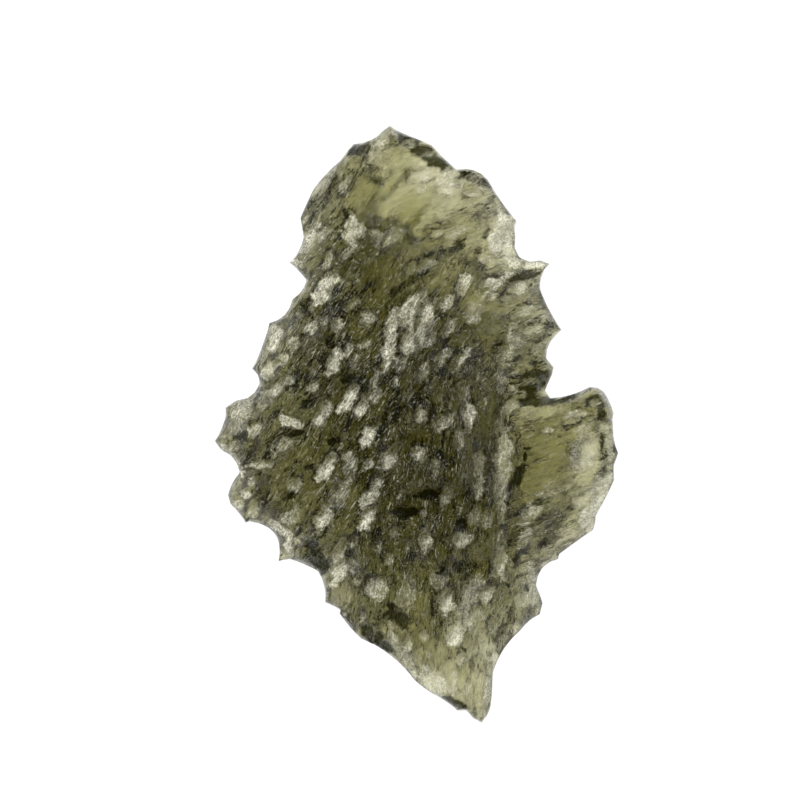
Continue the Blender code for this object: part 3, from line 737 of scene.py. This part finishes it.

# %% [markdown]
# ## The glass
#
# The green comes from the volume: an absorption that takes a set share of each colour for each
# millimetre, least from green and red, most from blue. Thin edges then come out clear and the thick
# middle dark olive. The surface lets nearly all light through, with a thin yellowish film on it,
# and a dark tint of painted shade and soil in its hollows, in the low parts of the fine relief and
# on one side of each pit. The pale floors of the pits are a second shader, rough and opaque, mixed
# in by grain: frost with a painted reflection of the light, and painted highlights on the raised
# ridges. Relief finer than the mesh can hold is a bump.
#
# Noise in the axes of the flow makes streaks. A Mapping node of the texture type turns a
# pattern first and scales it after, so each set of grooves gets one, and two attributes
# say which of them counts at a point.

# %% Patterns, fine and coarse
material, tree = new_material("olive_glass")
place = Socket.of(tree, "TexCoord", output=3)
frosted_and_reflecting = read_attribute(tree, "frost_and_reflection")
rough = read_attribute(tree, "etched")
shade_and_soil_of_hollows = read_attribute(tree, "hollow_shade_and_soil")
frames = [Socket.of(tree, "Mapping", {"vector_type": "TEXTURE"}, Vector=place,
                    Rotation=(0, 0, math.radians(angle)), Scale=(MM, MM, MM))
          for angle in FLOW_ANGLES]
flow = frames[0]
for name, other in zip(("upright", "fanning"), frames[1:]):
    share = read_attribute(tree, name)
    flow = mix("VECTOR", share.maths("GREATER_THAN", share, 0.5), flow, other)


def flow_noise(scales, **settings):
    """Noise in the axes of the flow, with its scales along, across and up, per mm."""
    stretched = Socket.of(tree, "VectorMath", {"operation": "MULTIPLY"}, {0: flow, 1: scales})
    return Socket.of(tree, "TexNoise", Vector=stretched, Scale=1.0, **settings)


streak = flow_noise((1.0, 3.6, 2.0), Detail=4.0, Distortion=1.2)
band = flow_noise((0.5, 1.5, 1.0), Detail=2.0, Distortion=0.8)
line = flow_noise((1.6, 8.0, 3.0), Detail=3.0, Distortion=2.0)
worm = Socket.of(tree, "TexNoise", Vector=place, Scale=9.0 / MM, Detail=3.5, Distortion=0.8)
patch = Socket.of(tree, "TexNoise", Vector=place, Scale=0.8 / MM, Detail=2.0)
blotch = Socket.of(tree, "TexNoise", Vector=place, Scale=2.6 / MM, Detail=3.0, Distortion=0.6)
print("patterns", sum(node.type == "TEX_NOISE" for node in tree.nodes))

# %% Relief, soil and grain from the patterns
RELIEF = 0.12 * MM


def above(value, level, slope):
    """0 up to this level of a value, then up to 1 with this slope."""
    beyond = value - level
    return beyond.maths("MULTIPLY", beyond, slope, clamp=True)


def below(value, level, slope):
    """0 down to this level of a value, then up to 1 with this slope."""
    short = level - value
    return short.maths("MULTIPLY", short, slope, clamp=True)


height = (worm * (frosted_and_reflecting * 0.35 + rough * 0.4 + 0.08) + streak * (rough * 0.8 + 0.2)
          + line * rough * 0.35)
bump = Socket.of(tree, "Bump", Strength=1.0, Distance=RELIEF, Height=height)
# painted shade, with some soil: flecks, crumbs and furrows where the fine relief is low, broad
# bands of shadow, and the marked hollows and pit sides
fleck = below(streak, 0.48, 7.0) * above(patch, 0.40, 6.0) * rough * 0.9
crumb = below(worm, 0.44, 7.0) * rough * 0.5
shadow = below(band, 0.50, 6.0) * rough * 0.7
furrow = below(line, 0.45, 9.0) * rough * 0.78
shade_and_soil = (fleck + crumb + shadow + furrow + shade_and_soil_of_hollows * 1.1) * (1 - frosted_and_reflecting * 0.6)
shade_and_soil = shade_and_soil.maths("MINIMUM", shade_and_soil, 1.0)
# grain of the pale floors: frost with a painted reflection, paler where the fine relief is high, as
# a painted highlight
grain = ((above(worm, 0.40, 6.0) * 0.6 + 0.34) * (above(blotch, 0.36, 5.0) * 0.6 + 0.45)
         * (above(line, 0.40, 7.0) * 0.45 + 0.6))
# painted highlights on the raised ridges and crumbs of the fine relief
painted_ridge_highlights = above(line, 0.58, 12.0) * rough * 0.28 + above(worm, 0.62, 12.0) * rough * 0.3
pale_share = (grain * frosted_and_reflecting + painted_ridge_highlights) * (1 - shade_and_soil_of_hollows * 0.8)
print("maths nodes", sum(node.type == "MATH" for node in tree.nodes))

# %% The olive glass
LOSS_PER_MM = (0.305, 0.312, 0.565)      # red, green and blue light lost in the glass
FILM = (0.98, 0.96, 0.77, 1)
# colour of the painted shade and soil
SHADE_AND_SOIL = (0.008, 0.008, 0.001, 1)
# pale frost, which also paints a reflection of the light
FROST_AND_REFLECTION_COLOUR = (0.95, 0.93, 0.76, 1)
PIT_FLOOR_ROUGHNESS = 0.35
GLASS_ROUGHNESS = 0.04
FROST_ROUGHNESS = 0.15       # more, where the glass is frosted
IOR = 1.49
tint = mix("RGBA", shade_and_soil, FILM, SHADE_AND_SOIL)
glass = Socket.of(tree, "BsdfPrincipled", Base_Color=tint, IOR=IOR, Normal=bump,
                  Roughness=frosted_and_reflecting * FROST_ROUGHNESS + GLASS_ROUGHNESS, Transmission_Weight=1.0)
frost_and_lamp_reflection = Socket.of(tree, "BsdfPrincipled", Base_Color=FROST_AND_REFLECTION_COLOUR, IOR=IOR,
                         Roughness=PIT_FLOOR_ROUGHNESS, Normal=bump)
surface = Socket.of(tree, "MixShader", inputs={0: pale_share, 1: glass, 2: frost_and_lamp_reflection})
fog = Socket.of(tree, "VolumeAbsorption", Density=1.0 / MM,
                Color=tuple(1 - loss for loss in LOSS_PER_MM) + (1,))
end_material(tree, Surface=surface, Volume=fog)
stone.data.materials.clear()
stone.data.materials.append(material)
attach(stone, "root")
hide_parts("moldavite")
print("glass loses per mm", LOSS_PER_MM)

# %% [markdown]
# ## Sizes, and the end
#
# The fine skin must stay inside the solid's box.
